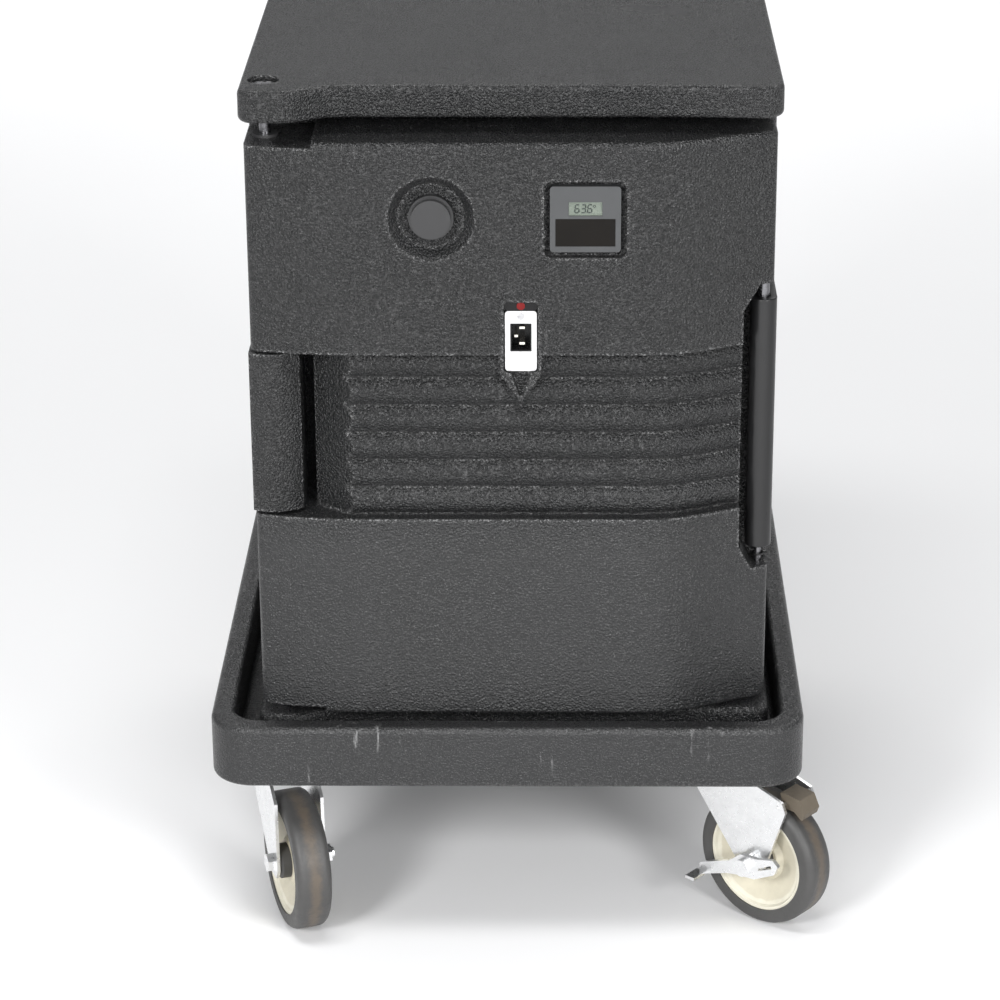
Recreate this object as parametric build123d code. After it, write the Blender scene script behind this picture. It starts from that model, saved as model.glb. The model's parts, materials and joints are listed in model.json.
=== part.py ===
from build123d import *
import math
import os

# Insulated front-loading food carrier with a heated door, standing in its wheeled dolly.
# Millimetres.  X is to the right, -Y is the front (the door side) and +Z is up.
# The origin is on the floor, under the middle of the dolly.

os.makedirs("parts", exist_ok=True)

# ---------------------------------------------------------------- driving dimensions
# dolly
dolly_width = 524.0
dolly_length = 714.0
rim_flat = 20.0
rim_top = 223.0
recess_floor = 180.0
skirt_bottom = 166.0
deck_underside = 160.0
dolly_corner = 38.0

# carrier: heights above the floor, and half widths from the carrier's own middle plane
carrier_x = 6.0
base_bottom = recess_floor + 0.2
lip_height = 28.0
bottom_lip_low = 193.0
bottom_lip_top = bottom_lip_low + lip_height
top_lip_top = 788.5
top_lip_low = top_lip_top - lip_height
side = 226.0
wall_side = 224.0
lip_front = -306.0
boss_front = -325.0
body_rim = -248.0
body_back = 322.0
skin = 6.0

# pan chamber
chamber_half = 167.0
chamber_low = 236.0
chamber_top = 736.0
chamber_back = 287.0
rail_count = 11
rail_pitch = 42.0
rail_depth = 9.0

# door
door_half = 222.0
door_front = -331.0
door_back = -253.0
door_low = 225.5
door_top = 746.0
zone_low = 411.0
zone_high = 561.0
rib_count = 6
rib_setback = 9.0
rib_rise = 5.5
bend_start = 112.0
bend_radius = 110.0
bend_angle = 24.0
notch_depth = 5.0
notch_edge = -165.0

# hinge
hinge_x = -206.0
hinge_y = -287.0
pin_radius = 5.0
post_radius = 34.5
post_right = -181.0

# latch
latch_x = 214.0
latch_y = -280.0
latch_low = 368.0
latch_high = 597.0
pocket_low = 352.0
pocket_high = 613.0
pocket_left = 196.0

# door fittings
vent_x = -67.0
vent_z = 681.0
meter_x = 61.5
meter_z = 680.0
inlet_x = 7.5

# casters
wheel_radius = 63.5
tyre_width = 32.0
axle_radius = 5.0
swivel_x = 205.0
swivel_y = -262.0
trail = 38.0
left_yaw = 20.0
right_yaw = 50.0
fork_inner = 20.0
fork_plate = 3.0
shoe_y = -66.0
shoe_z = 128.0


# ---------------------------------------------------------------- helpers
def box(x0, x1, y0, y1, z0, z1):
    """A block given by its limits."""
    middle = Pos((x0 + x1) / 2, (y0 + y1) / 2, (z0 + z1) / 2)
    return middle * Box(x1 - x0, y1 - y0, z1 - z0)


def rounded_box(x0, x1, y0, y1, z0, z1, axis, radius):
    """A block whose edges along one axis are rounded."""
    block = box(x0, x1, y0, y1, z0, z1)
    return fillet(block.edges().filter_by(axis), radius)


def upright(x, y, z0, z1, radius):
    """A vertical cylinder."""
    return Pos(x, y, (z0 + z1) / 2) * Cylinder(radius, z1 - z0)


def along_y(x, z, y0, y1, radius):
    """A cylinder from front to back."""
    return Pos(x, (y0 + y1) / 2, z) * Rot(90, 0, 0) * Cylinder(radius, y1 - y0)


def along_x(y, z, x0, x1, radius):
    """A cylinder from left to right."""
    return Pos((x0 + x1) / 2, y, z) * Rot(0, 90, 0) * Cylinder(radius, x1 - x0)


def plan(points, radii, z0, z1):
    """A prism whose outline in plan has rounded corners."""
    outline = FilletPolyline(*points, radius=radii, close=True)
    return Pos(0, 0, z0) * extrude(make_face(outline), z1 - z0)


def elevation(points, y0, y1):
    """A prism whose outline is given in the XZ plane, running from y0 back to y1."""
    face = make_face(Polyline(*[(x, y0, z) for x, z in points], close=True))
    return extrude(face, amount=y1 - y0, dir=(0, 1, 0))


def save(name, shape, shift=0.0):
    """Write one node, moved sideways by the carrier's own offset where it has one."""
    export_step(Pos(shift, 0, 0) * shape, f"parts/{name}.step")


def save_carrier(name, shape):
    save(name, shape, carrier_x)


# ---------------------------------------------------------------- carrier body
def lip(z0, z1):
    """The band round the body, with the hinge boss at its left front corner."""
    outline = [
        (-side, body_back),
        (-side, boss_front),
        (-184, boss_front),
        (-150, lip_front),
        (110, lip_front),
        (side, lip_front - 5),
        (side, body_back),
    ]
    band = plan(outline, [30, 14, 26, 40, 120, 16, 30], z0, z1)
    rims = band.edges().group_by(Axis.Z)
    return fillet(rims[0] + rims[-1], 5)


def body_outside():
    block = box(-wall_side, wall_side, body_rim, body_back - 3, bottom_lip_low + 4, top_lip_top - 4)
    block = fillet(block.edges().filter_by(Axis.Z), 12)
    base = rounded_box(-188, 188, -280, 300, base_bottom, bottom_lip_low + 2, Axis.Z, 25)
    grip_notch = box(-62, 48, -340, -296, bottom_lip_low - 1, bottom_lip_low + 6)
    lower_lip = lip(bottom_lip_low, bottom_lip_top) - grip_notch
    return block + base + lower_lip + lip(top_lip_low, top_lip_top)


def hinge_post():
    """The round post that fills the door's cut-away corner, concentric with the hinge."""
    low = zone_low + 3
    high = zone_high - 3
    post = upright(hinge_x, hinge_y, low, high, post_radius)
    post &= box(-wall_side, post_right, hinge_y - 50, hinge_y + 50, low, high)
    stem = box(-wall_side, hinge_x + 7, hinge_y, body_rim + 1, low, high)
    return post + stem


def chamber(grow=0.0):
    """The space for the pans, or that space with its liner when it is grown."""
    block = box(
        -chamber_half - grow,
        chamber_half + grow,
        body_rim - 1,
        chamber_back + grow,
        chamber_low - grow,
        chamber_top + grow,
    )
    return fillet(block.edges().filter_by(Axis.Y), 14 + grow)


def pan_rails():
    rails = []
    first = (chamber_low + chamber_top) / 2 - rail_pitch * (rail_count - 1) / 2
    for level in range(rail_count):
        z = first + level * rail_pitch
        for hand in (-1, 1):
            inner = hand * (chamber_half - rail_depth)
            outer = hand * (chamber_half + 2)
            x0, x1 = sorted((inner, outer))
            rails.append(box(x0, x1, body_rim + 22, chamber_back + 2, z - 5, z + 5))
    return rails


def latch_recess(grow=0.0):
    """The pocket in the body's right side that the latch arm lies in."""
    return box(206 - grow, 240, body_rim - 8, -208 + grow, pocket_low + 6 - grow, pocket_high - 6 + grow)


def side_grips(grow=0.0):
    """Finger pockets for lifting, one in each side wall."""
    grips = []
    for hand in (-1, 1):
        x0, x1 = sorted((hand * (196 - grow), hand * 240))
        grips.append(box(x0, x1, -70 - grow, 90 + grow, 640 - grow, 690 + grow))
    return grips


def foam_hole():
    """The filling hole in the back wall, closed by its plug."""
    return along_y(0, 690, body_back - 14, body_back + 4, 16)


def hinge_bores():
    """The sinks for the pin heads and the bores through both bosses."""
    bore = pin_radius + 0.05
    return [
        upright(hinge_x, hinge_y, top_lip_top - 8, top_lip_top + 2, 13.5),
        upright(hinge_x, hinge_y, bottom_lip_low - 2, bottom_lip_low + 8, 13.5),
        upright(hinge_x, hinge_y, top_lip_low - 2, top_lip_top - 7, bore),
        upright(hinge_x, hinge_y, bottom_lip_low + 7, bottom_lip_top + 2, bore),
    ]


def body_foam():
    """The insulation that fills the double wall."""
    foam = box(
        -wall_side + skin,
        wall_side - skin,
        body_rim + skin,
        body_back - 3 - skin,
        bottom_lip_low + 4 + skin,
        top_lip_top - 4 - skin,
    )
    foam = foam - chamber(skin) - latch_recess(skin)
    for grip in side_grips(skin):
        foam -= grip
    return foam


def make_body():
    foam = body_foam()
    shell = body_outside() - chamber() - foam - latch_recess() - foam_hole()
    for grip in side_grips():
        shell -= grip
    shell += hinge_post()
    shell += box(204, latch_x + 1, body_rim, body_rim + 7, pocket_low + 16, pocket_high - 16)
    for bore in hinge_bores():
        shell -= bore
    shell += pan_rails()
    plug = along_y(0, 690, body_back - 12.5, body_back - 3, 15.9)
    plug += along_y(0, 690, body_back - 3, body_back - 1, 19)
    save_carrier("carrier_body", shell)
    save_carrier("carrier_foam", foam - foam_hole())
    save_carrier("foam_plug", plug)


# ---------------------------------------------------------------- door
def door_plan(setback, z0, z1):
    """A prism of the door's outline, its front set back by the given amount."""
    front = door_front + setback
    turn = math.radians(bend_angle)
    bend_end = (
        bend_start + bend_radius * math.sin(turn),
        front + bend_radius * (1 - math.cos(turn)),
    )
    end_drop = (door_half - bend_end[0]) * math.tan(turn)
    right_front = (door_half, bend_end[1] + end_drop)
    left_front = (-door_half, front + 12.5)
    edges = [
        ThreePointArc(left_front, (-176, front + 3.2), (-130, front)),
        Line((-130, front), (bend_start, front)),
        RadiusArc((bend_start, front), bend_end, -bend_radius),
        Line(bend_end, right_front),
        Line(right_front, (door_half, door_back)),
        Line((door_half, door_back), (-door_half, door_back)),
        Line((-door_half, door_back), left_front),
    ]
    return Pos(0, 0, z0) * extrude(make_face(edges), z1 - z0)


def door_blank():
    block = door_plan(0, door_low, door_top)
    uprights = block.edges().filter_by(Axis.Z).sort_by(Axis.X)
    outer_left = uprights.filter_by_position(Axis.X, -door_half - 1, -door_half + 1)
    outer_right = uprights.filter_by_position(Axis.X, door_half - 1, door_half + 1)
    block = fillet(outer_left + outer_right, 8)
    ends = block.edges().group_by(Axis.Z)
    return fillet(ends[0] + ends[-1], 4)


def zone_corner(grow=0.0):
    """The cut-away at the left of the door's middle zone, where the post stands."""
    edge = hinge_x + post_radius + 1
    points = [
        (-240, door_front - 10),
        (-127 + grow, door_front - 10),
        (-137 + grow, door_front + rib_setback),
        (edge + grow, door_front + 36),
        (edge + grow, hinge_y),
        (-240, hinge_y),
    ]
    z0 = zone_low - grow
    z1 = zone_high + grow
    front = Pos(0, 0, z0) * extrude(make_face(Polyline(*points, close=True)), z1 - z0)
    swing = upright(hinge_x, hinge_y, z0, z1, post_radius + 1 + grow)
    way_out = box(-240, hinge_x + 9 + grow, hinge_y, door_back + 2, z0, z1)
    return front + swing + way_out


def zone_recess(setback):
    """The front skin that is taken off the door's middle zone."""
    strip = door_plan(-10, zone_low, zone_high) - door_plan(setback, zone_low - 1, zone_high + 1)
    return strip & box(-240, 240, door_front - 20, door_back - 22, zone_low, zone_high)


def ribs():
    """Six rounded bars that run across the middle zone and round its bend."""
    pitch = (zone_high - zone_low) / rib_count
    crest = door_front + rib_setback
    root = crest + rib_rise
    start = -160.0
    edges = []
    z = zone_low
    for _ in range(rib_count):
        edges.append(
            ThreePointArc((start, root, z), (start, crest, z + pitch * 0.55), (start, root, z + pitch))
        )
        z += pitch
    edges.append(Line((start, root, z), (start, root + 8, z)))
    edges.append(Line((start, root + 8, z), (start, root + 8, zone_low)))
    edges.append(Line((start, root + 8, zone_low), (start, root, zone_low)))
    turn = math.radians(bend_angle)
    bend_end = (
        bend_start + bend_radius * math.sin(turn),
        root + bend_radius * (1 - math.cos(turn)),
    )
    reach = 46.0
    far_end = (
        bend_end[0] + reach * math.cos(turn),
        bend_end[1] + reach * math.sin(turn),
    )
    path = Wire(
        [
            Line((start, root, zone_low), (bend_start, root, zone_low)).edge(),
            RadiusArc(
                (bend_start, root, zone_low), (*bend_end, zone_low), -bend_radius
            ).edge(),
            Line((*bend_end, zone_low), (*far_end, zone_low)).edge(),
        ]
    )
    return sweep(make_face(edges), path=path)


def latch_pocket(grow=0.0):
    """The cut-away in the door's right edge that the latch bar stands in."""
    points = [
        (pocket_left - grow, pocket_high - 22),
        (pocket_left + 14 - grow, pocket_high + grow),
        (240, pocket_high + grow),
        (240, pocket_low - grow),
        (pocket_left + 11 - grow, pocket_low - grow),
        (pocket_left - grow, pocket_low + 22),
    ]
    return elevation(points, door_front - 20, -263 + grow)


def latch_slot():
    """The way through the door's edge for the latch arm."""
    return box(209, 240, -270, door_back + 2, pocket_low + 8, pocket_high - 8)


def inlet_shield():
    """The raised shield round the power inlet, down to its point."""
    points = [
        (inlet_x - 18, zone_high + 6),
        (inlet_x + 18, zone_high + 6),
        (inlet_x + 17, 543),
        (inlet_x, 518),
        (inlet_x - 17, 543),
    ]
    return elevation(points, door_front + 2, door_front + 30)


def inlet_recess():
    """The socket's recess with the drip channel below it."""
    pocket = rounded_box(
        inlet_x - 14.5, inlet_x + 14.5, door_front - 12, door_front + 12, 544, 608, Axis.Y, 4
    )
    channel_points = [(inlet_x - 9, 546), (inlet_x + 9, 546), (inlet_x + 1.5, 524), (inlet_x - 1.5, 524)]
    well = box(inlet_x - 9.5, inlet_x + 9.5, door_front, door_front + 46, 559, 591)
    return pocket + elevation(channel_points, door_front - 12, door_front + 8) + well


def vent_recess():
    """The dished round recess and the vent hole through the door."""
    dish = Pos(vent_x, door_front + 4, vent_z) * Rot(90, 0, 0) * Cone(28, 38, 12)
    return dish + along_y(vent_x, vent_z, door_front - 5, door_back + 5, 11)


def meter_recess():
    recess = rounded_box(
        meter_x - 34.5, meter_x + 34.5, door_front - 5, door_front + 9, meter_z - 33, meter_z + 33, Axis.Y, 7
    )
    well = box(meter_x - 24, meter_x + 24, door_front, door_front + 22, meter_z - 24, meter_z + 24)
    return recess + well + along_y(meter_x, meter_z, door_front, door_back + 5, 2.2)


def door_notches():
    """Steps in the door's top and bottom edges that clear the hinge bosses."""
    top = box(-240, notch_edge, door_front - 9, door_back + 9, door_top - notch_depth, door_top + 9)
    low = box(-240, notch_edge, door_front - 9, door_back + 9, door_low - 9, door_low + notch_depth)
    return top + low


def door_foam_space():
    """The insulation inside the door, clear of every pocket by the skin's thickness."""
    turn_edge = 185.0
    space = door_plan(20, door_low + skin + notch_depth, door_top - skin - notch_depth)
    space &= box(-door_half + skin, turn_edge, -400, door_back - skin, 0, 900)
    space = space - zone_corner(skin)
    space -= along_y(vent_x, vent_z, -400, 0, 17)
    space -= box(meter_x - 30, meter_x + 30, -400, door_front + 28, meter_z - 30, meter_z + 30)
    space -= along_y(meter_x, meter_z, -400, 0, 6)
    space -= box(inlet_x - 21, inlet_x + 21, -400, door_front + 52, 515, 616)
    for z0, z1 in ((door_low, door_low + 50), (door_top - 50, door_top)):
        space -= upright(hinge_x, hinge_y, z0, z1, 14)
    return space


def make_door():
    blank = door_blank() - zone_recess(rib_setback + rib_rise)
    blank += ribs() & box(-160, 240, -400, -200, zone_low, zone_high)
    blank += inlet_shield()
    blank = blank - zone_corner() - latch_pocket() - latch_slot() - door_notches()
    blank = blank - inlet_recess() - vent_recess() - meter_recess()
    top_bush = upright(hinge_x, hinge_y, door_top - 45, door_top + 5, 8)
    low_bush = upright(hinge_x, hinge_y, door_low - 5, door_low + 45, 8)
    pin_bore = upright(latch_x, latch_y, 330, 635, 3.05)
    foam = door_foam_space()
    shell = blank - foam - top_bush - low_bush - pin_bore
    save_carrier("door_shell", shell)
    save_carrier("door_foam", foam)


def make_gasket():
    """A square-section seal on the door's back, round the chamber's mouth."""
    back = body_rim - 0.2
    outer = rounded_box(-191, 191, door_back, back, chamber_low - 5, chamber_top + 4, Axis.Y, 24)
    inner = rounded_box(
        -177, 177, door_back - 1, back + 1, chamber_low + 8, chamber_top - 9, Axis.Y, 12
    )
    save_carrier("door_gasket", outer - inner)


def make_hinges():
    """Pins through the bosses, and the flanged bushes in the door that turn on them."""
    notch_top = door_top - notch_depth
    notch_low = door_low + notch_depth
    top_pin = upright(hinge_x, hinge_y, notch_top - 38, top_lip_top - 7.9, pin_radius)
    top_pin += upright(hinge_x, hinge_y, top_lip_top - 7.9, top_lip_top - 3.5, 10)
    low_pin = upright(hinge_x, hinge_y, bottom_lip_low + 7.9, notch_low + 38, pin_radius)
    low_pin += upright(hinge_x, hinge_y, bottom_lip_low + 3.5, bottom_lip_low + 7.9, 10)
    bore = pin_radius + 0.05
    top_bush = upright(hinge_x, hinge_y, notch_top - 39, notch_top, 8)
    top_bush += upright(hinge_x, hinge_y, notch_top, notch_top + 2.5, 11)
    top_bush -= upright(hinge_x, hinge_y, notch_top - 38.5, notch_top + 9, bore)
    low_bush = upright(hinge_x, hinge_y, notch_low, notch_low + 39, 8)
    low_bush += upright(hinge_x, hinge_y, notch_low - 2.5, notch_low, 11)
    low_bush -= upright(hinge_x, hinge_y, notch_low - 9, notch_low + 38.5, bore)
    save_carrier("hinge_pins", Compound(children=[top_pin, low_pin]))
    save_carrier("hinge_bushes", Compound(children=[top_bush, low_bush]))


# ---------------------------------------------------------------- door fittings
def make_vent():
    """A push-in vent cap with its sealing ring."""
    floor = door_front + 10
    cap = along_y(vent_x, vent_z, floor - 6, floor - 0.2, 19)
    cap += along_y(vent_x, vent_z, floor - 12, floor - 6, 16.5)
    cap += along_y(vent_x, vent_z, floor - 0.2, floor + 34, 9.5)
    groove = along_y(vent_x, vent_z, floor + 10, floor + 13, 12) - along_y(
        vent_x, vent_z, floor + 9, floor + 14, 8.0
    )
    ring = along_y(vent_x, vent_z, floor + 10.2, floor + 12.8, 10.7) - along_y(
        vent_x, vent_z, floor + 9, floor + 14, 8.0
    )
    save_carrier("vent_cap", cap - groove)
    save_carrier("vent_seal", ring)


def make_meter():
    """A solar powered thermometer with its sensing probe."""
    face = door_front + 2.5
    case = rounded_box(
        meter_x - 29.5, meter_x + 29.5, face, door_front + 9, meter_z - 28.5, meter_z + 28.5, Axis.Y, 3
    )
    case += box(meter_x - 22, meter_x + 22, door_front + 9, door_front + 21.5, meter_z - 22, meter_z + 22)
    lcd_z = meter_z + 9
    solar_z = meter_z - 11.5
    case -= box(meter_x - 14, meter_x + 14, face - 1, face + 2.5, lcd_z - 6, lcd_z + 6)
    case -= box(meter_x - 25, meter_x + 25, face - 1, face + 2, solar_z - 12, solar_z + 12)
    case -= along_y(meter_x, meter_z, door_front + 15, door_front + 30, 2.05)
    lcd = box(meter_x - 13.9, meter_x + 13.9, face + 1.2, face + 2.5, lcd_z - 5.9, lcd_z + 5.9)
    window = box(meter_x - 13.9, meter_x + 13.9, face + 0.2, face + 1.2, lcd_z - 5.9, lcd_z + 5.9)
    solar = box(meter_x - 24.9, meter_x + 24.9, face + 0.4, face + 2, solar_z - 11.9, solar_z + 11.9)
    save_carrier("thermometer_case", case)
    save_carrier("thermometer_display", lcd)
    save_carrier("thermometer_window", window)
    save_carrier("solar_cell", solar)
    save_carrier("thermometer_probe", along_y(meter_x, meter_z, door_front + 15, door_back + 27, 2))


def make_inlet():
    """The power inlet: metal plate, socket with three pins, pilot lamp and screw."""
    back = door_front + 12
    front = back - 6
    plate = rounded_box(
        inlet_x - 13.4, inlet_x + 13.4, front, front + 1.2, 545, 598.5, Axis.Y, 3
    )
    plate -= box(inlet_x - 9, inlet_x + 9, front - 1, front + 2, 562.5, 587.5)
    plate -= along_y(inlet_x, 594, front - 1, front + 2, 1.8)
    bezel = rounded_box(inlet_x - 14.2, inlet_x + 14.2, front, back, 598.7, 607.7, Axis.Y, 3.9)
    bezel -= along_y(inlet_x, 603.4, front - 1, back + 1, 3.6)
    lamp = along_y(inlet_x, 603.4, front - 1.2, back, 3.5)
    socket = box(inlet_x - 9.3, inlet_x + 9.3, front + 1.2, front + 35, 560, 590)
    cup = box(inlet_x - 7.8, inlet_x + 7.8, front, front + 20, 563.5, 586.5)
    socket -= cup
    cup_floor = front + 20
    blades = [
        box(inlet_x - 1.2, inlet_x + 3.2, cup_floor - 15, cup_floor, 581, 583),
        box(inlet_x - 1.2, inlet_x + 3.2, cup_floor - 15, cup_floor, 567, 569),
        box(inlet_x - 5.4, inlet_x - 2.6, cup_floor - 16, cup_floor, 574, 576),
    ]
    spacer = box(inlet_x - 13, inlet_x + 13, front + 1.2, back, 591, 597.5)
    spacer -= along_y(inlet_x, 594, front, back + 1, 1.8)
    screw = along_y(inlet_x, 594, front - 1.6, front, 3) + along_y(inlet_x, 594, front, back - 0.2, 1.75)
    screw -= box(inlet_x - 3, inlet_x + 3, front - 2, front - 1, 593.6, 594.4)
    save_carrier("inlet_plate", plate)
    save_carrier("lamp_bezel", bezel)
    save_carrier("pilot_lamp", lamp)
    save_carrier("inlet_socket", socket)
    save_carrier("inlet_pins", Compound(children=blades))
    save_carrier("inlet_spacer", spacer)
    save_carrier("inlet_screw", screw)


def make_heater():
    """The heater on the door's inner face: element, thermostat and slotted cover."""
    low = 300.0
    high = 640.0
    deep = door_back + 24
    cover = rounded_box(-130, 130, door_back, deep, low, high, Axis.Y, 12)
    cover -= rounded_box(-128, 128, door_back - 1, deep - 2, low + 2, high - 2, Axis.Y, 10)
    slot_count = 9
    for index in range(slot_count):
        z = low + 50 + index * 30
        cover -= box(-95, 95, deep - 3, deep + 1, z - 4, z + 4)
    feet = []
    for hand in (-1, 1):
        for z in (low + 14, high - 14):
            x = hand * 116
            feet.append((x, z))
            cover += along_y(x, z, door_back, deep - 2, 7)
            cover -= along_y(x, z, door_back - 1, deep + 1, 2.1)
    element = box(-105, 105, door_back + 4, door_back + 6, low + 34, high - 34)
    rib_rows = 6
    for index in range(rib_rows):
        z = low + 60 + index * 44
        element += box(-98, 98, door_back + 6, door_back + 9, z - 3, z + 3)
    stand = box(-90, -70, door_back, door_back + 4, low + 60, high - 60)
    element += stand + box(70, 90, door_back, door_back + 4, low + 60, high - 60)
    stat = upright(0, door_back + 14, 455, 475, 5)
    stat += box(-12, 12, door_back + 9, door_back + 12, 455, 475)
    stat -= box(-13, 13, door_back, door_back + 9, 440, 490)
    screws = []
    for x, z in feet:
        screw = along_y(x, z, door_back + 0.5, deep, 2)
        screws.append(screw + along_y(x, z, deep, deep + 2.2, 4))
    save_carrier("heater_cover", cover)
    save_carrier("heater_element", element)
    save_carrier("heater_thermostat", stat)
    save_carrier("heater_screws", Compound(children=screws))


# ---------------------------------------------------------------- latch
def make_latch():
    """The door latch: a long bar on an upright pin, with an arm that reaches the body."""
    barrel_radius = 11.5
    outer = latch_x + barrel_radius
    barrel = upright(latch_x, latch_y, latch_low, latch_high, barrel_radius)
    arm_outline = [
        (latch_x + 2.5, latch_y),
        (outer, latch_y),
        (outer, -226),
        (latch_x + 1.6, -226),
        (latch_x + 1.6, -238),
        (latch_x + 2.5, -240),
    ]
    arm = plan(arm_outline, [0, 0, 3, 2, 0, 0], latch_low, latch_high)
    bar = barrel + arm
    ends = bar.edges().group_by(Axis.Z)
    bar = fillet(ends[0] + ends[-1], 1.2)
    bar -= upright(latch_x, latch_y, latch_low - 1, latch_high + 1, 3.05)
    spring_seat = upright(latch_x, latch_y, latch_high - 16, latch_high + 1, 6)
    bar -= spring_seat
    pin = upright(latch_x, latch_y, 331, 634, 3)
    clip = upright(latch_x, latch_y, 358, 359.4, 5.2) - upright(latch_x, latch_y, 357, 361, 3)
    clip += box(latch_x + 4.2, latch_x + 9, latch_y - 1.5, latch_y + 1.5, 358, 359.4)
    coil = upright(latch_x, latch_y, latch_high - 14, pocket_high - 2, 5)
    coil -= upright(latch_x, latch_y, latch_high - 15, pocket_high, 3.2)
    save_carrier("latch_bar", bar)
    save_carrier("latch_pin", pin)
    save_carrier("latch_clip", clip)
    save_carrier("latch_spring", coil)


# ---------------------------------------------------------------- dolly
def make_deck():
    half_w = dolly_width / 2
    half_l = dolly_length / 2
    block = rounded_box(-half_w, half_w, -half_l, half_l, skirt_bottom, rim_top, Axis.Z, dolly_corner)
    layers = block.edges().group_by(Axis.Z)
    block = fillet(layers[-1], 5)
    block = fillet(block.edges().group_by(Axis.Z)[0], 4)
    well_w = half_w - rim_flat
    well_l = half_l - rim_flat
    well = rounded_box(-well_w, well_w, -well_l, well_l, recess_floor, rim_top + 10, Axis.Z, 26)
    well = fillet(well.edges().group_by(Axis.Z)[0], 6)
    deck = block - well
    mouth = deck.edges().filter_by_position(Axis.Z, rim_top - 0.1, rim_top + 0.1)
    inner = [e for e in mouth if abs(e.center().X) < well_w + 1 and abs(e.center().Y) < well_l + 1]
    deck = fillet(inner, 4)
    for x in (-swivel_x, swivel_x):
        for y in (swivel_y, -swivel_y):
            deck += rounded_box(x - 50, x + 50, y - 44, y + 44, deck_underside, skirt_bottom + 1, Axis.Z, 8)
    for x, y in bolt_spots():
        deck -= upright(x, y, deck_underside - 1, deck_underside + 16, 3.9)
    save("dolly_deck", deck)


def bolt_spots():
    spots = []
    for x in (-swivel_x, swivel_x):
        for y in (swivel_y, -swivel_y):
            for dx in (-38, 38):
                for dy in (-31, 31):
                    spots.append((x + dx, y + dy))
    return spots


def make_plates():
    """The four caster plates and the bolts that hold them to the deck."""
    top = deck_underside
    plates = []
    for x in (-swivel_x, swivel_x):
        for y in (swivel_y, -swivel_y):
            plate = rounded_box(x - 48, x + 48, y - 41, y + 41, top - 3, top, Axis.Z, 8)
            for bx, by in bolt_spots():
                plate -= upright(bx, by, top - 4, top + 1, 4)
            if y < 0:
                plate += upright(x, y, top - 8, top - 3, 27)
                plate -= upright(x, y, top - 9, top + 1, 6.05)
            plates.append(plate)
    bolts = []
    for x, y in bolt_spots():
        bolt = upright(x, y, top - 3, top + 14, 3.85)
        head = extrude(RegularPolygon(6.5, 6), 5)
        bolts.append(bolt + Pos(x, y, top - 8) * head)
    save("caster_plates", Compound(children=plates))
    save("caster_bolts", Compound(children=bolts))


def placed(shape, x, y, yaw):
    """Turn a caster's piece about its own upright and set it under the deck."""
    return Pos(x, y, 0) * Rot(0, 0, yaw) * shape


def side_plate(points, x0, x1):
    """A plate whose outline is given in the YZ plane, from x0 to x1."""
    face = make_face(Polyline(*[(x0, y, z) for y, z in points], close=True))
    return extrude(face, amount=x1 - x0, dir=(1, 0, 0))


def fork(axle_y, crown_top, with_brake=False):
    """A pressed fork: crown plate and two tapering legs, its wheel along local -Y."""
    crown_low = crown_top - fork_plate - 3
    reach = fork_inner + fork_plate
    body = upright(0, 0, crown_low, crown_top, 29)
    body += box(-reach, reach, axle_y + 14, 30, crown_low, crown_top)
    back = [(30, crown_top - 1), (30, crown_low - 14), (axle_y + 15, wheel_radius - 3)]
    foot = [
        (axle_y + 10, wheel_radius - 12),
        (axle_y - 10, wheel_radius - 12),
        (axle_y - 15, wheel_radius - 3),
    ]
    if with_brake:
        front = [(shoe_y - 9, shoe_z - 3), (shoe_y - 5, shoe_z + 6), (axle_y + 8, crown_top - 1)]
    else:
        front = [(axle_y - 12, crown_low - 14), (axle_y + 8, crown_top - 1)]
    for hand in (-1, 1):
        x0, x1 = sorted((hand * fork_inner, hand * reach))
        body += side_plate(back + foot + front, x0, x1)
    if with_brake:
        body -= along_x(shoe_y, shoe_z, -60, 60, 1.55)
    return body - along_x(axle_y, wheel_radius, -60, 60, axle_radius + 0.05)


def axle_bolt(axle_y):
    """The axle, its hexagon head on the left and its thread end on the right."""
    reach = fork_inner + fork_plate
    bolt = along_x(axle_y, wheel_radius, -reach, reach + 11, axle_radius)
    head = extrude(RegularPolygon(9, 6), 6)
    bolt += Pos(-reach - 6, axle_y, wheel_radius) * Rot(0, 90, 0) * head
    return bolt


def axle_nut(axle_y):
    reach = fork_inner + fork_plate
    nut = Pos(reach, axle_y, wheel_radius) * Rot(0, 90, 0) * extrude(RegularPolygon(9, 6), 8)
    return nut - along_x(axle_y, wheel_radius, reach - 1, reach + 12, axle_radius)


def spun(points, axle_y):
    """A body of revolution about the axle, from its section in (x, radius)."""
    face = make_face(Polyline(*[(x, r, 0) for x, r in points], close=True))
    ring = revolve(face, Axis.X, 360)
    return Pos(0, axle_y, wheel_radius) * ring


def wheel_parts(axle_y):
    """Tyre, dished hub and the bearing sleeve of one wheel, on an axle along X."""
    half = tyre_width / 2
    rim = 49.5
    tyre = along_x(axle_y, wheel_radius, -half, half, wheel_radius)
    tyre = fillet(tyre.edges(), 7)
    tyre -= along_x(axle_y, wheel_radius, -half - 1, half + 1, rim)
    section = [
        (-14.5, rim - 0.1),
        (-14.5, rim - 2.6),
        (-12.0, rim - 4.2),
        (-4.5, 24.0),
        (-9.0, 19.0),
        (-9.0, 16.05),
        (9.0, 16.05),
        (9.0, 19.0),
        (4.5, 24.0),
        (12.0, rim - 4.2),
        (14.5, rim - 2.6),
        (14.5, rim - 0.1),
    ]
    hub = spun(section, axle_y)
    bearing = along_x(axle_y, wheel_radius, -19, 19, 16)
    bearing = chamfer(bearing.edges(), 2)
    bearing -= along_x(axle_y, wheel_radius, -30, 30, axle_radius + 0.05)
    return {"tyre": tyre, "hub": hub, "bearing": bearing}


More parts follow.
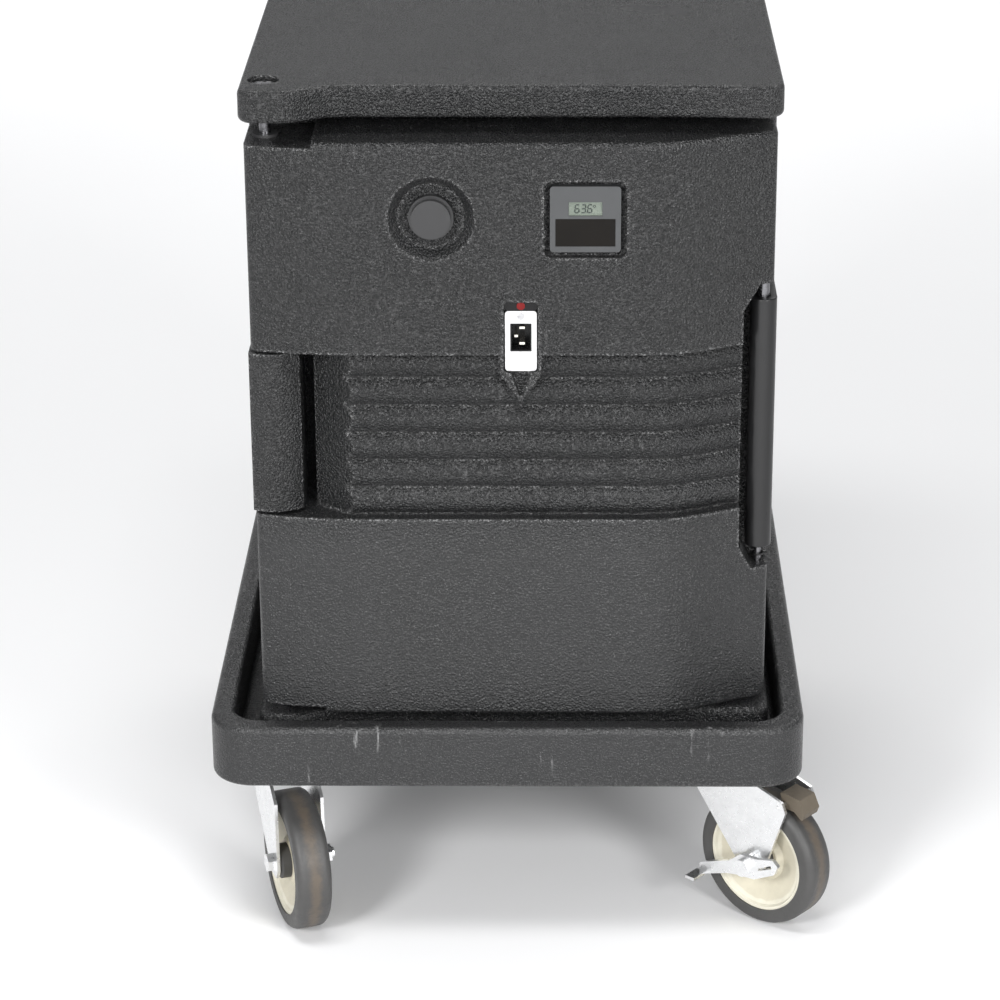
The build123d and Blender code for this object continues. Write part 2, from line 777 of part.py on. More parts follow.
def make_swivel_caster(tag, x, yaw, braked):
    """One front caster, built with its wheel along -Y and then turned by its yaw."""
    axle_y = -trail
    crown_top = deck_underside - 13
    body = fork(axle_y, crown_top, braked)
    body += upright(0, 0, crown_top - 2, deck_underside - 8.3, 24)
    body -= upright(0, 0, crown_top - 20, deck_underside, 6.3)
    pin = upright(0, 0, crown_top - 9, deck_underside, 6)
    pin += upright(0, 0, crown_top - 10, crown_top - 6.3, 10)
    save("kingpin_" + tag, placed(pin, x, swivel_y, yaw))
    save("axle_" + tag, placed(axle_bolt(axle_y), x, swivel_y, yaw))
    save("axle_nut_" + tag, placed(axle_nut(axle_y), x, swivel_y, yaw))
    for name, piece in wheel_parts(axle_y).items():
        save(name + "_" + tag, placed(piece, x, swivel_y, yaw))
    if braked:
        for name, piece in brake_pieces(axle_y).items():
            save(name, placed(piece, x, swivel_y, yaw))
    save("fork_" + tag, placed(body, x, swivel_y, yaw))


def brake_pieces(axle_y):
    """The brake pedal outside the axle's head, the shoe over the tread, and the shoe's pin."""
    outer = -(fork_inner + fork_plate + 6.3)
    z = wheel_radius
    strip = [
        (axle_y + 50, z - 25),
        (axle_y + 18, z - 13),
        (axle_y + 8, z - 11),
        (axle_y - 12, z - 9),
        (axle_y - 34, z + 3),
        (axle_y - 38, z + 12),
        (axle_y - 32, z + 17),
        (axle_y - 14, z + 12),
        (axle_y + 4, z + 11),
        (axle_y + 16, z + 1),
        (axle_y + 50, z - 13),
    ]
    pedal = side_plate(strip, outer - 4, outer)
    pedal = fillet(pedal.edges().filter_by(Axis.X), 2.5)
    slot = [(axle_y - 31, z + 8), (axle_y - 16, z + 1), (axle_y - 17, z + 4), (axle_y - 30, z + 11)]
    pedal -= side_plate(slot, outer - 5, outer + 1)
    pedal += along_x(axle_y, z, outer - 9, outer - 4, 8)
    pedal += box(outer - 17, outer, axle_y + 46, axle_y + 56, z - 26, z - 23)
    pedal += side_plate([(axle_y + 44, z - 23), (axle_y + 50, z - 25.5), (axle_y + 50, z - 22)], outer - 4, outer)
    profile = [(6, 10), (-16, 8), (-22, -4), (-19, -12), (-10, -5), (2, -5)]
    shoe = side_plate([(shoe_y + y, shoe_z + dz) for y, dz in profile], -11, 11)
    shoe = fillet(shoe.edges().filter_by(Axis.X), 1.5)
    shoe -= along_x(shoe_y, shoe_z, -30, 30, 1.6)
    pin = along_x(shoe_y, shoe_z, -24, 24, 1.5)
    return {"brake_pedal": pedal, "brake_shoe": shoe, "brake_pin": pin}


def make_rear_casters():
    """Two rigid casters, their wheels straight below their plates."""
    crown_top = deck_underside - 3
    forks = []
    axles = []
    nuts = []
    for tag, x in (("rear_left", -swivel_x), ("rear_right", swivel_x)):
        y = -swivel_y
        forks.append(placed(fork(0, crown_top), x, y, 0))
        axles.append(placed(axle_bolt(0), x, y, 0))
        nuts.append(placed(axle_nut(0), x, y, 0))
        for name, piece in wheel_parts(0).items():
            save(name + "_" + tag, placed(piece, x, y, 0))
    save("rigid_forks", Compound(children=forks))
    save("rear_axles", Compound(children=axles))
    save("rear_axle_nuts", Compound(children=nuts))


# ---------------------------------------------------------------- build
make_body()
make_door()
make_gasket()
make_hinges()
make_vent()
make_meter()
make_inlet()
make_heater()
make_latch()
make_deck()
make_plates()
make_swivel_caster("front_left", -swivel_x, left_yaw, False)
make_swivel_caster("front_right", swivel_x, right_yaw, True)
make_rear_casters()
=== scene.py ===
"""Looks for the insulated food carrier on its dolly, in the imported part's own frame (metres)."""
import json
import math

import bmesh
import bpy
from mathutils import Matrix, Vector


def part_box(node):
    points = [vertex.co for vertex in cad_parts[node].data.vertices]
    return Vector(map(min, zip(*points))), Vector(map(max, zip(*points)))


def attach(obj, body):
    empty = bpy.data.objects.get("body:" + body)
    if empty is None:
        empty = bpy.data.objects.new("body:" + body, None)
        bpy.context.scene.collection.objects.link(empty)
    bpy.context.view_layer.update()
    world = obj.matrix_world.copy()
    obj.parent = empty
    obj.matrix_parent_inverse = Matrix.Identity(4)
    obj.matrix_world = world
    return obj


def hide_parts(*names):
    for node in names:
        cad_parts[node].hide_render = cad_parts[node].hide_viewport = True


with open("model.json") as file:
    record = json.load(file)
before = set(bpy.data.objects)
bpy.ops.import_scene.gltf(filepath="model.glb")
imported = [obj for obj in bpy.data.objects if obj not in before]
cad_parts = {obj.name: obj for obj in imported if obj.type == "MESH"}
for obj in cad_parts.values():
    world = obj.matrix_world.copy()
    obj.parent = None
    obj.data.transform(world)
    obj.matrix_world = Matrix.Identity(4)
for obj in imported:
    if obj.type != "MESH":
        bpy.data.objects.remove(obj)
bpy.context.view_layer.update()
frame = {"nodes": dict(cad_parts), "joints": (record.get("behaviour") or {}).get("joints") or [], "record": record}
nodes = frame["nodes"]

# ---------------------------------------------------------------- small helpers


def new_material(name):
    """An empty node material with its shader and output, and its node tree."""
    material = bpy.data.materials.new(name)
    material.use_nodes = True
    tree = material.node_tree
    tree.nodes.clear()
    shader = tree.nodes.new("ShaderNodeBsdfPrincipled")
    output = tree.nodes.new("ShaderNodeOutputMaterial")
    tree.links.new(shader.outputs["BSDF"], output.inputs["Surface"])
    return material, tree, shader


def scaled(colour, factor):
    return tuple(c * factor for c in colour)


def object_coords(tree):
    return tree.nodes.new("ShaderNodeTexCoord").outputs["Object"]


def noise(tree, coords, scale, detail=3.0, roughness=0.5, stretch=None):
    """A noise texture's value; stretch scales the coordinates first, for streaks."""
    if stretch:
        mapping = tree.nodes.new("ShaderNodeMapping")
        mapping.inputs["Scale"].default_value = stretch
        tree.links.new(coords, mapping.inputs["Vector"])
        coords = mapping.outputs["Vector"]
    node = tree.nodes.new("ShaderNodeTexNoise")
    node.inputs["Scale"].default_value = scale
    node.inputs["Detail"].default_value = detail
    node.inputs["Roughness"].default_value = roughness
    tree.links.new(coords, node.inputs["Vector"])
    return node.outputs["Fac"]


def pebbles(tree, coords, scale):
    """Rounded leather-like cells, 0 in the creases and 1 on top."""
    node = tree.nodes.new("ShaderNodeTexVoronoi")
    node.feature = "SMOOTH_F1"
    node.inputs["Scale"].default_value = scale
    node.inputs["Smoothness"].default_value = 0.35
    tree.links.new(coords, node.inputs["Vector"])
    return remap(tree, node.outputs["Distance"], 0.0, 0.7, 1.0, 0.0)


def remap(tree, value, low, high, to_low, to_high):
    """value, from low to high, spread over to_low to to_high and held there."""
    node = tree.nodes.new("ShaderNodeMapRange")
    node.inputs["From Min"].default_value = low
    node.inputs["From Max"].default_value = high
    node.inputs["To Min"].default_value = to_low
    node.inputs["To Max"].default_value = to_high
    tree.links.new(value, node.inputs["Value"])
    return node.outputs["Result"]


def math_node(tree, operation, a, b=None):
    node = tree.nodes.new("ShaderNodeMath")
    node.operation = operation
    for i, value in enumerate((a, b)):
        if value is None:
            continue
        if isinstance(value, (int, float)):
            node.inputs[i].default_value = value
        else:
            tree.links.new(value, node.inputs[i])
    return node.outputs["Value"]


def mix_colour(tree, factor, first, second):
    """first where factor is 0, second where it is 1; either is a colour or a socket."""
    node = tree.nodes.new("ShaderNodeMix")
    node.data_type = "RGBA"
    tree.links.new(factor, node.inputs["Factor"])
    for name, value in (("A", first), ("B", second)):
        socket = [s for s in node.inputs if s.name == name and s.type == "RGBA"][0]
        if isinstance(value, tuple):
            socket.default_value = (*value, 1.0)
        else:
            tree.links.new(value, socket)
    return [s for s in node.outputs if s.type == "RGBA"][0]


def bump(tree, height, distance, strength=1.0, under=None):
    node = tree.nodes.new("ShaderNodeBump")
    node.inputs["Strength"].default_value = strength
    node.inputs["Distance"].default_value = distance
    tree.links.new(height, node.inputs["Height"])
    if under is not None:
        tree.links.new(under, node.inputs["Normal"])
    return node.outputs["Normal"]


def rounded_normal(tree, reach):
    """A normal that rounds every edge off over this reach."""
    softened = tree.nodes.new("ShaderNodeBevel")
    softened.samples = 4
    softened.inputs["Radius"].default_value = reach
    return softened.outputs["Normal"]


def edge_mask(tree, reach):
    """0 on flat faces, rising to 1 along edges, within this reach of them."""
    dot = tree.nodes.new("ShaderNodeVectorMath")
    dot.operation = "DOT_PRODUCT"
    tree.links.new(rounded_normal(tree, reach), dot.inputs[0])
    tree.links.new(tree.nodes.new("ShaderNodeNewGeometry").outputs["Normal"], dot.inputs[1])
    return remap(tree, dot.outputs["Value"], 0.995, 0.90, 0.0, 1.0)


def paint(names, material):
    """Gives each named CAD node that one material."""
    for name in names:
        mesh = nodes[name].data
        mesh.materials.clear()
        mesh.materials.append(material)


def new_piece(name, vertices, faces, material, body, bevel=0.0):
    """A mesh piece in the shared frame that rides on a body; bevel is the width of its soft edges."""
    mesh = bpy.data.meshes.new(name)
    mesh.from_pydata(vertices, [], faces)
    work = bmesh.new()
    work.from_mesh(mesh)
    bmesh.ops.recalc_face_normals(work, faces=work.faces)
    work.to_mesh(mesh)
    work.free()
    piece = bpy.data.objects.new(name, mesh)
    bpy.context.scene.collection.objects.link(piece)
    mesh.materials.append(material)
    if bevel:
        modifier = piece.modifiers.new("soft_edges", "BEVEL")
        modifier.width = bevel
        modifier.segments = 2
        modifier.limit_method = "ANGLE"
    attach(piece, body)
    return piece


slots = {s["node"]: s["material_slot"] for s in frame["record"]["subparts"]}

# ---------------------------------------------------------------- materials

SCUFF_GREY = (0.34, 0.34, 0.34)
# Pale grey of the edge band, which is partly rubbing and partly a painted highlight.
RUBBED_HIGHLIGHT_GREY = (0.42, 0.42, 0.42)
# Grey of the painted glints: fine pale specks that stand in for light catching the grain.
GLINT_SPECK_GREY = (0.22, 0.22, 0.22)
EDGE_ROUNDING = 0.0022
# Reach and amount of the pale edge band, which is partly rubbing and partly a painted highlight.
RUBBED_HIGHLIGHT_REACH = 0.005
RUBBED_HIGHLIGHT_AMOUNT = 0.6
SCUFF_STRETCH = (1.0, 1.0, 0.16)


def moulded(name, colour, grain_scale, grain_depth, rough, scuffs=0.0, smooth_below=None):
    """Rotomoulded polyethylene: pebbled grain, cloudy gloss, a few pale scuffs, edges lightened partly by rubbing
    and partly by a painted highlight, and fine pale specks that are painted glints.
    Below the height smooth_below the grain is shallower, as where a mould is polished."""
    material, tree, shader = new_material(name)
    coords = object_coords(tree)
    cells = pebbles(tree, coords, grain_scale)
    fine = noise(tree, coords, grain_scale * 2.6, 2.0)
    cloud = noise(tree, coords, 9.0, 3.0)
    worn = remap(tree, noise(tree, coords, 38.0, 5.0, 0.65), 0.56, 0.72, 0.0, 1.0)
    tint = mix_colour(tree, cloud, scaled(colour, 0.72), scaled(colour, 1.3))
    if scuffs:
        streaks = noise(tree, coords, 95.0, 4.0, 0.7, SCUFF_STRETCH)
        patch = remap(tree, noise(tree, coords, 16.0, 2.0), 0.50, 0.62, 0.0, 1.0)
        mark = math_node(tree, "MULTIPLY", remap(tree, streaks, 0.61, 0.74, 0.0, scuffs), patch)
        tint = mix_colour(tree, mark, tint, SCUFF_GREY)
    # Edge band, partly rubbing and partly a painted highlight: the edge mask, broken up by the glint noise,
    # lightens the colour along every edge.
    edge = edge_mask(tree, RUBBED_HIGHLIGHT_REACH)
    glint = remap(tree, noise(tree, coords, 620.0, 2.0, 0.6), 0.52, 0.62, 0.0, 1.0)
    rubbed_highlight = math_node(tree, "MULTIPLY", edge, math_node(tree, "MULTIPLY", glint, RUBBED_HIGHLIGHT_AMOUNT))
    tint = mix_colour(tree, rubbed_highlight, tint, RUBBED_HIGHLIGHT_GREY)
    # Painted glints: fine pale specks in the colour stand in for light catching the pebbled grain.
    painted_glint_specks = remap(tree, noise(tree, coords, 980.0, 1.0, 0.5), 0.64, 0.74, 0.0, 0.35)
    tint = mix_colour(tree, painted_glint_specks, tint, GLINT_SPECK_GREY)
    tree.links.new(tint, shader.inputs["Base Color"])
    gloss = remap(tree, cloud, 0.3, 0.7, rough - 0.05, rough + 0.07)
    gloss = math_node(tree, "ADD", gloss, math_node(tree, "MULTIPLY", worn, 0.06))
    gloss = math_node(tree, "SUBTRACT", gloss, math_node(tree, "MULTIPLY", glint, 0.12))
    tree.links.new(gloss, shader.inputs["Roughness"])
    shader.inputs["Specular IOR Level"].default_value = 0.5
    if smooth_below:
        split = tree.nodes.new("ShaderNodeSeparateXYZ")
        tree.links.new(coords, split.inputs["Vector"])
        deep = remap(tree, split.outputs["Z"], smooth_below - 0.05, smooth_below + 0.03, 0.35, 1.0)
        cells = math_node(tree, "MULTIPLY", cells, deep)
        fine = math_node(tree, "MULTIPLY", fine, deep)
    coarse = bump(tree, cells, grain_depth, 1.0, rounded_normal(tree, EDGE_ROUNDING))
    tree.links.new(bump(tree, fine, grain_depth * 0.5, 0.7, coarse), shader.inputs["Normal"])
    return material


def smooth_plastic(name, colour, rough, grain=700.0, depth=0.00006, streak=None, shine=0.5):
    """Injection-moulded plastic with a fine texture; streak draws it out along an axis.
    shine is the shader's specular level."""
    material, tree, shader = new_material(name)
    coords = object_coords(tree)
    fine = noise(tree, coords, grain, 3.0, 0.6, streak)
    cloud = noise(tree, coords, 60.0, 3.0)
    tint = mix_colour(tree, cloud, scaled(colour, 0.85), scaled(colour, 1.15))
    tree.links.new(tint, shader.inputs["Base Color"])
    gloss = remap(tree, fine, 0.3, 0.7, rough - 0.07, rough + 0.07)
    tree.links.new(gloss, shader.inputs["Roughness"])
    shader.inputs["Specular IOR Level"].default_value = shine
    tree.links.new(bump(tree, fine, depth), shader.inputs["Normal"])
    return material


def plated(name, colour, rough, spangle=0.12, streak=None):
    """Plated or brushed steel: crystal spangle in the gloss and faint handling marks."""
    material, tree, shader = new_material(name)
    coords = object_coords(tree)
    cells = noise(tree, coords, 240.0, 2.0, 0.6, streak)
    marks = noise(tree, coords, 70.0, 5.0, 0.7)
    worn = remap(tree, marks, 0.45, 0.75, 0.0, 1.0)
    tint = mix_colour(tree, worn, colour, scaled(colour, 0.9))
    tree.links.new(tint, shader.inputs["Base Color"])
    shader.inputs["Metallic"].default_value = 1.0
    gloss = remap(tree, cells, 0.3, 0.7, rough - spangle, rough + spangle)
    tree.links.new(gloss, shader.inputs["Roughness"])
    tree.links.new(bump(tree, marks, 0.00004, 0.4), shader.inputs["Normal"])
    return material


def ringed(name, centre, axis, bands, rough, grain, depth, worn=None):
    """A wheel's material: its colour follows the distance from the wheel's axle.
    bands are (starting radius, colour), from the axle outwards.
    worn is (radius, half width, colour) of a worn band round the tread."""
    material, tree, shader = new_material(name)
    coords = object_coords(tree)
    offset = tree.nodes.new("ShaderNodeVectorMath")
    offset.operation = "SUBTRACT"
    tree.links.new(coords, offset.inputs[0])
    offset.inputs[1].default_value = centre
    cross = tree.nodes.new("ShaderNodeVectorMath")
    cross.operation = "CROSS_PRODUCT"
    tree.links.new(offset.outputs["Vector"], cross.inputs[0])
    cross.inputs[1].default_value = axis
    length = tree.nodes.new("ShaderNodeVectorMath")
    length.operation = "LENGTH"
    tree.links.new(cross.outputs["Vector"], length.inputs[0])
    radius = length.outputs["Value"]
    tint = bands[0][1]
    blotch = noise(tree, coords, 120.0, 5.0, 0.65)
    wobble = math_node(tree, "ADD", radius, remap(tree, blotch, 0.3, 0.7, -0.0007, 0.0007))
    for start, colour in bands[1:]:
        edge = remap(tree, wobble, start - 0.0006, start + 0.0006, 0.0, 1.0)
        tint = mix_colour(tree, edge, tint, colour)
    if worn:
        along = tree.nodes.new("ShaderNodeVectorMath")
        along.operation = "DOT_PRODUCT"
        tree.links.new(offset.outputs["Vector"], along.inputs[0])
        along.inputs[1].default_value = axis
        aside = math_node(tree, "ABSOLUTE", along.outputs["Value"])
        aside = math_node(tree, "ADD", aside, remap(tree, blotch, 0.3, 0.7, -0.0025, 0.0025))
        band = remap(tree, aside, worn[1] - 0.003, worn[1] + 0.003, 1.0, 0.0)
        band = math_node(tree, "MULTIPLY", band, remap(tree, radius, worn[0] - 0.002, worn[0], 0.0, 0.9))
        tint = mix_colour(tree, band, tint, worn[2])
    stain = remap(tree, noise(tree, coords, 45.0, 4.0, 0.6), 0.4, 0.75, 0.0, 0.35)
    tint = mix_colour(tree, stain, tint, scaled(bands[0][1], 0.62))
    tree.links.new(tint, shader.inputs["Base Color"])
    gloss = remap(tree, blotch, 0.3, 0.7, rough - 0.08, rough + 0.08)
    tree.links.new(gloss, shader.inputs["Roughness"])
    texture = noise(tree, coords, grain, 4.0, 0.65)
    tree.links.new(bump(tree, texture, depth), shader.inputs["Normal"])
    return material


def clear(name, colour, rough):
    """Moulded clear plastic or glass."""
    material, tree, shader = new_material(name)
    shader.inputs["Base Color"].default_value = (*colour, 1.0)
    shader.inputs["Alpha"].default_value = 0.10
    shader.inputs["IOR"].default_value = 1.45
    waves = noise(tree, object_coords(tree), 90.0, 2.0)
    tree.links.new(remap(tree, waves, 0.3, 0.7, rough, rough + 0.03), shader.inputs["Roughness"])
    return material


def insulation():
    """Rigid foam with open cells."""
    material, tree, shader = new_material("rigid_foam")
    coords = object_coords(tree)
    cells = pebbles(tree, coords, 420.0)
    tint = mix_colour(tree, cells, (0.55, 0.46, 0.24), (0.82, 0.74, 0.48))
    tree.links.new(tint, shader.inputs["Base Color"])
    shader.inputs["Roughness"].default_value = 0.95
    tree.links.new(bump(tree, cells, 0.0006), shader.inputs["Normal"])
    return material


BLACK = (0.010, 0.0102, 0.0107)
ALONG_Z = (1.0, 1.0, 0.1)
ALONG_X = (0.1, 1.0, 1.0)

shell = moulded("black_shell", BLACK, 560.0, 0.0015, 0.31)
door_skin = moulded("black_door_skin", BLACK, 540.0, 0.0016, 0.31, scuffs=0.12, smooth_below=0.43)
dolly_skin = moulded("black_dolly_skin", (0.013, 0.0132, 0.0138), 560.0, 0.0006, 0.33, scuffs=0.8)
latch_nylon = smooth_plastic("black_latch", (0.008, 0.008, 0.0085), 0.34, 420.0, 0.00008, ALONG_Z)
vent_plastic = smooth_plastic("black_vent", (0.020, 0.020, 0.021), 0.40)
rubber = smooth_plastic("soft_rubber", (0.018, 0.018, 0.018), 0.62)
case_plastic = smooth_plastic("grey_case", (0.042, 0.044, 0.046), 0.48)
lcd = smooth_plastic("display_green", (0.19, 0.225, 0.185), 0.35, 900.0, 0.00002)
digit_ink = smooth_plastic("display_ink", (0.012, 0.020, 0.018), 0.4)
cell_glass = smooth_plastic("solar_cell_face", (0.006, 0.005, 0.004), 0.2, 300.0, 0.00001, shine=0.12)
gloss_black = smooth_plastic("inlet_black", (0.006, 0.006, 0.0065), 0.24, depth=0.00002, shine=0.25)
bush_black = smooth_plastic("bush_plastic", (0.030, 0.030, 0.031), 0.35)
dark_steel = plated("darkened_steel", (0.20, 0.20, 0.21), 0.3)
lamp_red = smooth_plastic("lamp_lens", (0.16, 0.004, 0.004), 0.18, shine=0.25)
shoe_rubber = smooth_plastic("brake_rubber", (0.115, 0.095, 0.070), 0.72, 260.0, 0.0003)
cap_grey = smooth_plastic("bearing_cap", (0.045, 0.044, 0.043), 0.5)
zinc = plated("bright_zinc", (0.93, 0.935, 0.94), 0.30, 0.05)
steel = plated("plain_steel", (0.52, 0.52, 0.53), 0.34)
brushed = plated("brushed_inlet_plate", (0.72, 0.72, 0.72), 0.36, 0.08, ALONG_X)
pin_metal = plated("bright_pins", (0.86, 0.82, 0.74), 0.2, 0.06)
window = clear("display_window", (0.02, 0.02, 0.02), 0.04)
foam = insulation()

paint(["carrier_body", "foam_plug"], shell)
paint(["door_shell"], door_skin)
paint(["dolly_deck"], dolly_skin)
paint(["carrier_foam", "door_foam"], foam)
paint(["door_gasket", "vent_seal"], rubber)
paint(["latch_bar", "latch_clip"], latch_nylon)
paint(["vent_cap"], vent_plastic)
paint(["thermometer_case"], case_plastic)
paint(["thermometer_display"], lcd)
paint(["solar_cell"], cell_glass)
paint(["inlet_socket", "inlet_spacer", "lamp_bezel", "heater_thermostat"], gloss_black)
paint(["inlet_plate"], brushed)
paint(["inlet_pins"], pin_metal)
paint(["pilot_lamp"], lamp_red)
paint(["hinge_bushes"], bush_black)
paint([n for n in nodes if slots[n] == "dark_steel"], dark_steel)
paint(["brake_shoe"], shoe_rubber)
paint([n for n in nodes if slots[n] == "steel"], steel)
paint([n for n in nodes if slots[n] == "zinc"], zinc)
paint([n for n in nodes if n.startswith("bearing_")], cap_grey)

TYRE_BANDS = [(0.0, (0.058, 0.057, 0.056))]
TREAD_WEAR = (0.060, 0.0045, (0.105, 0.084, 0.064))
HUB_BANDS = [(0.0, (0.56, 0.51, 0.39)), (0.019, (0.62, 0.58, 0.46)), (0.042, (0.72, 0.69, 0.58))]

for joint in frame["joints"]:
    if not joint["name"].endswith("_spin"):
        continue
    corner = joint["child"].replace("wheel_", "")
    place = tuple(joint["pos_m"])
    axle = tuple(Vector(joint["axis"]).normalized())
    tyre = ringed("tyre_rubber_" + corner, place, axle, TYRE_BANDS, 0.5, 300.0, 0.0003, TREAD_WEAR)
    hub = ringed("cream_hub_" + corner, place, axle, HUB_BANDS, 0.42, 500.0, 0.00005)
    paint(["tyre_" + corner], tyre)
    paint(["hub_" + corner], hub)

# ---------------------------------------------------------------- display

READING = "636"
SEGMENTS = {"6": "acdefg", "3": "abcdg"}
DIGIT_HEIGHT = 0.58
DIGIT_WIDTH = 0.5
STROKE = 0.16
PITCH = 1.55
READING_PITCHES = 3.4
POINT_PITCHES = 1.84
RING_PITCHES = 3.1
RING_SIDES = 8
RING_HOLE = 0.55
LEAN = 0.1
INK_STANDOFF = 0.00006
INK_THICK = 0.00005
COVER_GAP = 0.0004
COVER_BEVEL = 0.0002


def bar_outline(length, thickness):
    """A flat segment with pointed ends, lying along x from the origin."""
    half = thickness / 2
    far = length - half
    return [(0, 0), (half, half), (far, half), (length, 0), (far, -half), (half, -half)]


def digit_segments(letters, width, height, thickness):
    """The outlines of one digit's lit segments, with its lower left corner at the origin."""
    gap = thickness * 0.12
    across = bar_outline(width - 2 * gap, thickness)
    up = [(y, x) for x, y in bar_outline(height / 2 - 2 * gap, thickness)]
    places = {
        "a": (across, gap, height), "g": (across, gap, height / 2), "d": (across, gap, 0.0),
        "f": (up, 0.0, height / 2 + gap), "b": (up, width, height / 2 + gap),
        "e": (up, 0.0, gap), "c": (up, width, gap),
    }
    outlines = []
    for letter in letters:
        outline, x, z = places[letter]
        outlines.append([(px + x, pz + z) for px, pz in outline])
    return outlines


def raised(outlines, front, thick):
    """Vertices and faces of thin plates with these (x, z) outlines, facing -Y."""
    vertices, faces = [], []
    for outline in outlines:
        start, count = len(vertices), len(outline)
        for y in (front, front + thick):
            vertices += [(x, y, z) for x, z in outline]
        faces.append(tuple(range(start, start + count)))
        faces.append(tuple(range(start + count, start + 2 * count)))
        for i in range(count):
            j = (i + 1) % count
            faces.append((start + i, start + j, start + count + j, start + count + i))
    return vertices, faces


def make_digits():
    """A reading of three digits and a degree ring on the thermometer's display.
    The digits' height is a share of the display's; the rest are shares of the height or the pitch."""
    low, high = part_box("thermometer_display")
    wide, tall = high.x - low.x, high.z - low.z
    digit_tall = tall * DIGIT_HEIGHT
    digit_wide = digit_tall * DIGIT_WIDTH
    thick = digit_tall * STROKE
    pitch = digit_wide * PITCH
    left = low.x + (wide - READING_PITCHES * pitch) / 2
    base = low.z + (tall - digit_tall) / 2
    outlines = []
    for place, figure in enumerate(READING):
        start = left + place * pitch
        for outline in digit_segments(SEGMENTS[figure], digit_wide, digit_tall, thick):
            outlines.append([(x + start + z * LEAN, z + base) for x, z in outline])
    dot = left + POINT_PITCHES * pitch
    far, top = dot + thick, base + thick
    outlines.append([(dot, base), (far, base), (far, top), (dot, top)])
    ring_x, ring_z = left + RING_PITCHES * pitch, base + digit_tall * 0.8
    ring = thick * 1.1
    hole = ring * RING_HOLE
    for i in range(RING_SIDES):
        a = i * 2 * math.pi / RING_SIDES
        b = (i + 1) * 2 * math.pi / RING_SIDES
        outlines.append([
            (ring_x + r * math.cos(t), ring_z + r * math.sin(t))
            for r, t in ((ring, a), (ring, b), (hole, b), (hole, a))
        ])
    vertices, faces = raised(outlines, low.y - INK_STANDOFF, INK_THICK)
    new_piece("display_digits", vertices, faces, digit_ink, "door")


def make_window():
    """The display's clear cover, a little ahead of the display so that the two don't touch."""
    low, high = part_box("thermometer_window")
    depths = (low.y, high.y - COVER_GAP)
    corners = [(x, y, z) for x in (low.x, high.x) for y in depths for z in (low.z, high.z)]
    faces = [(0, 1, 3, 2), (4, 5, 7, 6), (0, 1, 5, 4), (2, 3, 7, 6), (0, 2, 6, 4), (1, 3, 7, 5)]
    cover = new_piece("display_cover", corners, faces, window, "door", bevel=COVER_BEVEL)
    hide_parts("thermometer_window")


make_digits()
make_window()

# ---------------------------------------------------------------- floor, light, camera

FLOOR_REACH = 14.0
FLOOR_TINTS = ((0.86, 0.86, 0.865), (0.88, 0.88, 0.885))
WORLD_COLOUR = (0.97, 0.98, 1.0, 1.0)
WORLD_STRENGTH = 0.30


def make_floor():
    mesh = bpy.data.meshes.new("studio_floor")
    r = FLOOR_REACH
    mesh.from_pydata([(-r, -r, 0), (r, -r, 0), (r, r, 0), (-r, r, 0)], [], [(0, 1, 2, 3)])
    floor = bpy.data.objects.new("studio_floor", mesh)
    bpy.context.scene.collection.objects.link(floor)
    material, tree, shader = new_material("pale_floor")
    tint = mix_colour(tree, noise(tree, object_coords(tree), 2.0), *FLOOR_TINTS)
    tree.links.new(tint, shader.inputs["Base Color"])
    shader.inputs["Roughness"].default_value = 0.65
    shader.inputs["Specular IOR Level"].default_value = 0.2
    mesh.materials.append(material)


def area_light(name, place, target, wide, tall, power):
    """A rectangular softbox at place that faces target."""
    light = bpy.data.lights.new(name, "AREA")
    light.shape = "RECTANGLE"
    light.size, light.size_y = wide, tall
    light.energy = power
    lamp = bpy.data.objects.new(name, light)
    bpy.context.scene.collection.objects.link(lamp)
    lamp.location = place
    lamp.rotation_euler = (Vector(target) - Vector(place)).to_track_quat("-Z", "Y").to_euler()


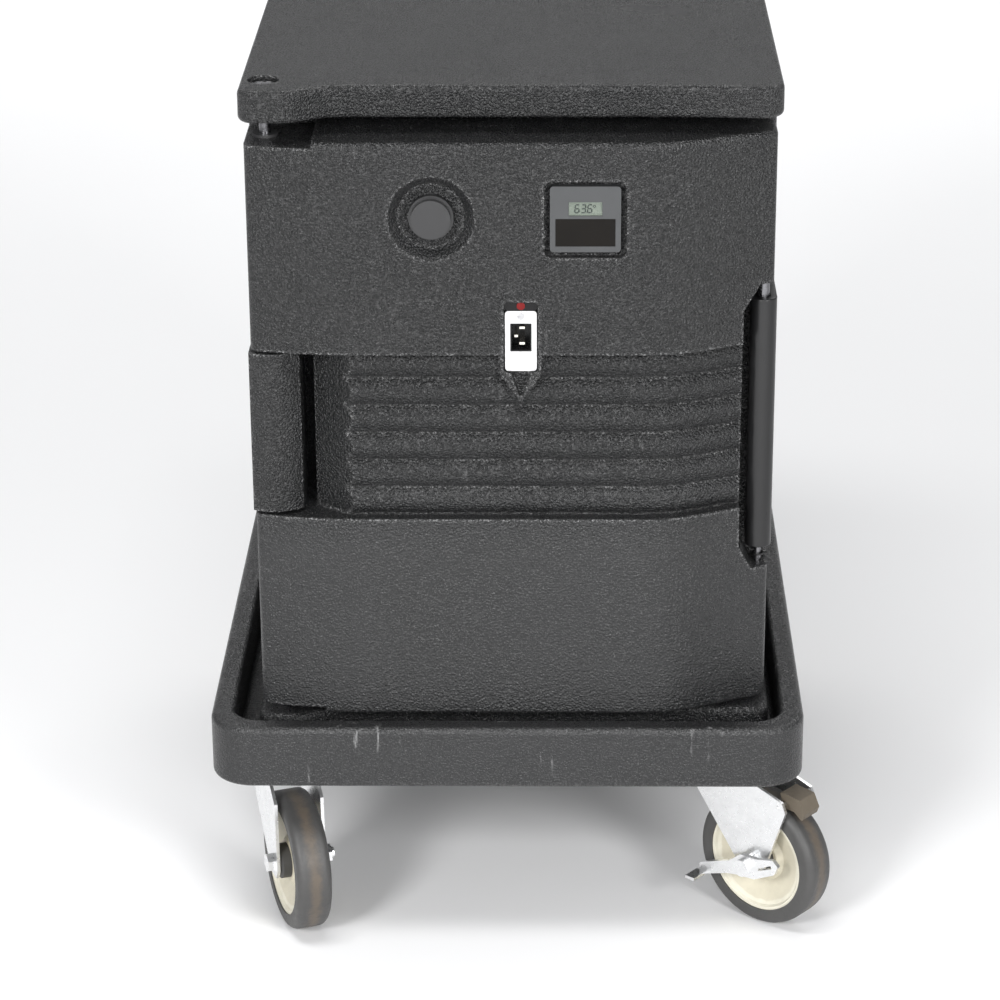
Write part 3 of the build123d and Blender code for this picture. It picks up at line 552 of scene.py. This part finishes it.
def make_world():
    world = bpy.data.worlds.new("studio")
    bpy.context.scene.world = world
    world.use_nodes = True
    background = world.node_tree.nodes["Background"]
    background.inputs["Color"].default_value = WORLD_COLOUR
    background.inputs["Strength"].default_value = WORLD_STRENGTH


CAMERA_PLACE = Vector((0.0471, -2.9790, 1.5199))
CAMERA_PITCH = math.radians(22.38)
CAMERA_YAW = math.radians(-1.05)
CAMERA_ROLL = math.radians(-0.34)
CAMERA_LENS = 120.2
CAMERA_SHIFT = -0.004


def make_camera():
    """The camera at the front, above the carrier's top and looking slightly down."""
    ahead = Vector((
        math.sin(CAMERA_YAW) * math.cos(CAMERA_PITCH),
        math.cos(CAMERA_YAW) * math.cos(CAMERA_PITCH),
        -math.sin(CAMERA_PITCH),
    ))
    level = Vector((math.cos(CAMERA_YAW), -math.sin(CAMERA_YAW), 0))
    above = level.cross(ahead)
    right = math.cos(CAMERA_ROLL) * level + math.sin(CAMERA_ROLL) * above
    up = math.cos(CAMERA_ROLL) * above - math.sin(CAMERA_ROLL) * level
    turn = Matrix((right, up, -ahead)).transposed().to_4x4()
    lens = bpy.data.cameras.new("camera")
    lens.lens = CAMERA_LENS
    lens.shift_x = CAMERA_SHIFT
    lens.sensor_width = 36.0
    lens.clip_end = 60.0
    camera = bpy.data.objects.new("camera", lens)
    bpy.context.scene.collection.objects.link(camera)
    camera.matrix_world = Matrix.Translation(CAMERA_PLACE) @ turn
    bpy.context.scene.camera = camera


# name, place, the point it faces, width, height, power in watts
LIGHTS = [
    ("overhead_softbox", (-0.3, -1.15, 3.1), (0, -0.2, 0.5), 1.8, 0.6, 42),
    ("front_left_softbox", (-1.7, -3.2, 2.0), (0, 0, 0.2), 0.8, 0.8, 78),
    ("front_right_softbox", (1.9, -3.1, 1.8), (0, 0, 0.2), 0.9, 0.9, 68),
    ("low_front_fill", (0.0, -4.2, 1.0), (0, 0, 0.0), 3.6, 0.8, 64),
    ("backdrop_light", (0.0, 4.2, 3.6), (0, 4.6, 0.0), 6.0, 3.0, 190),
]

make_floor()
make_world()
for light_row in LIGHTS:
    area_light(*light_row)
make_camera()
bpy.context.scene.view_settings.view_transform = "Standard"
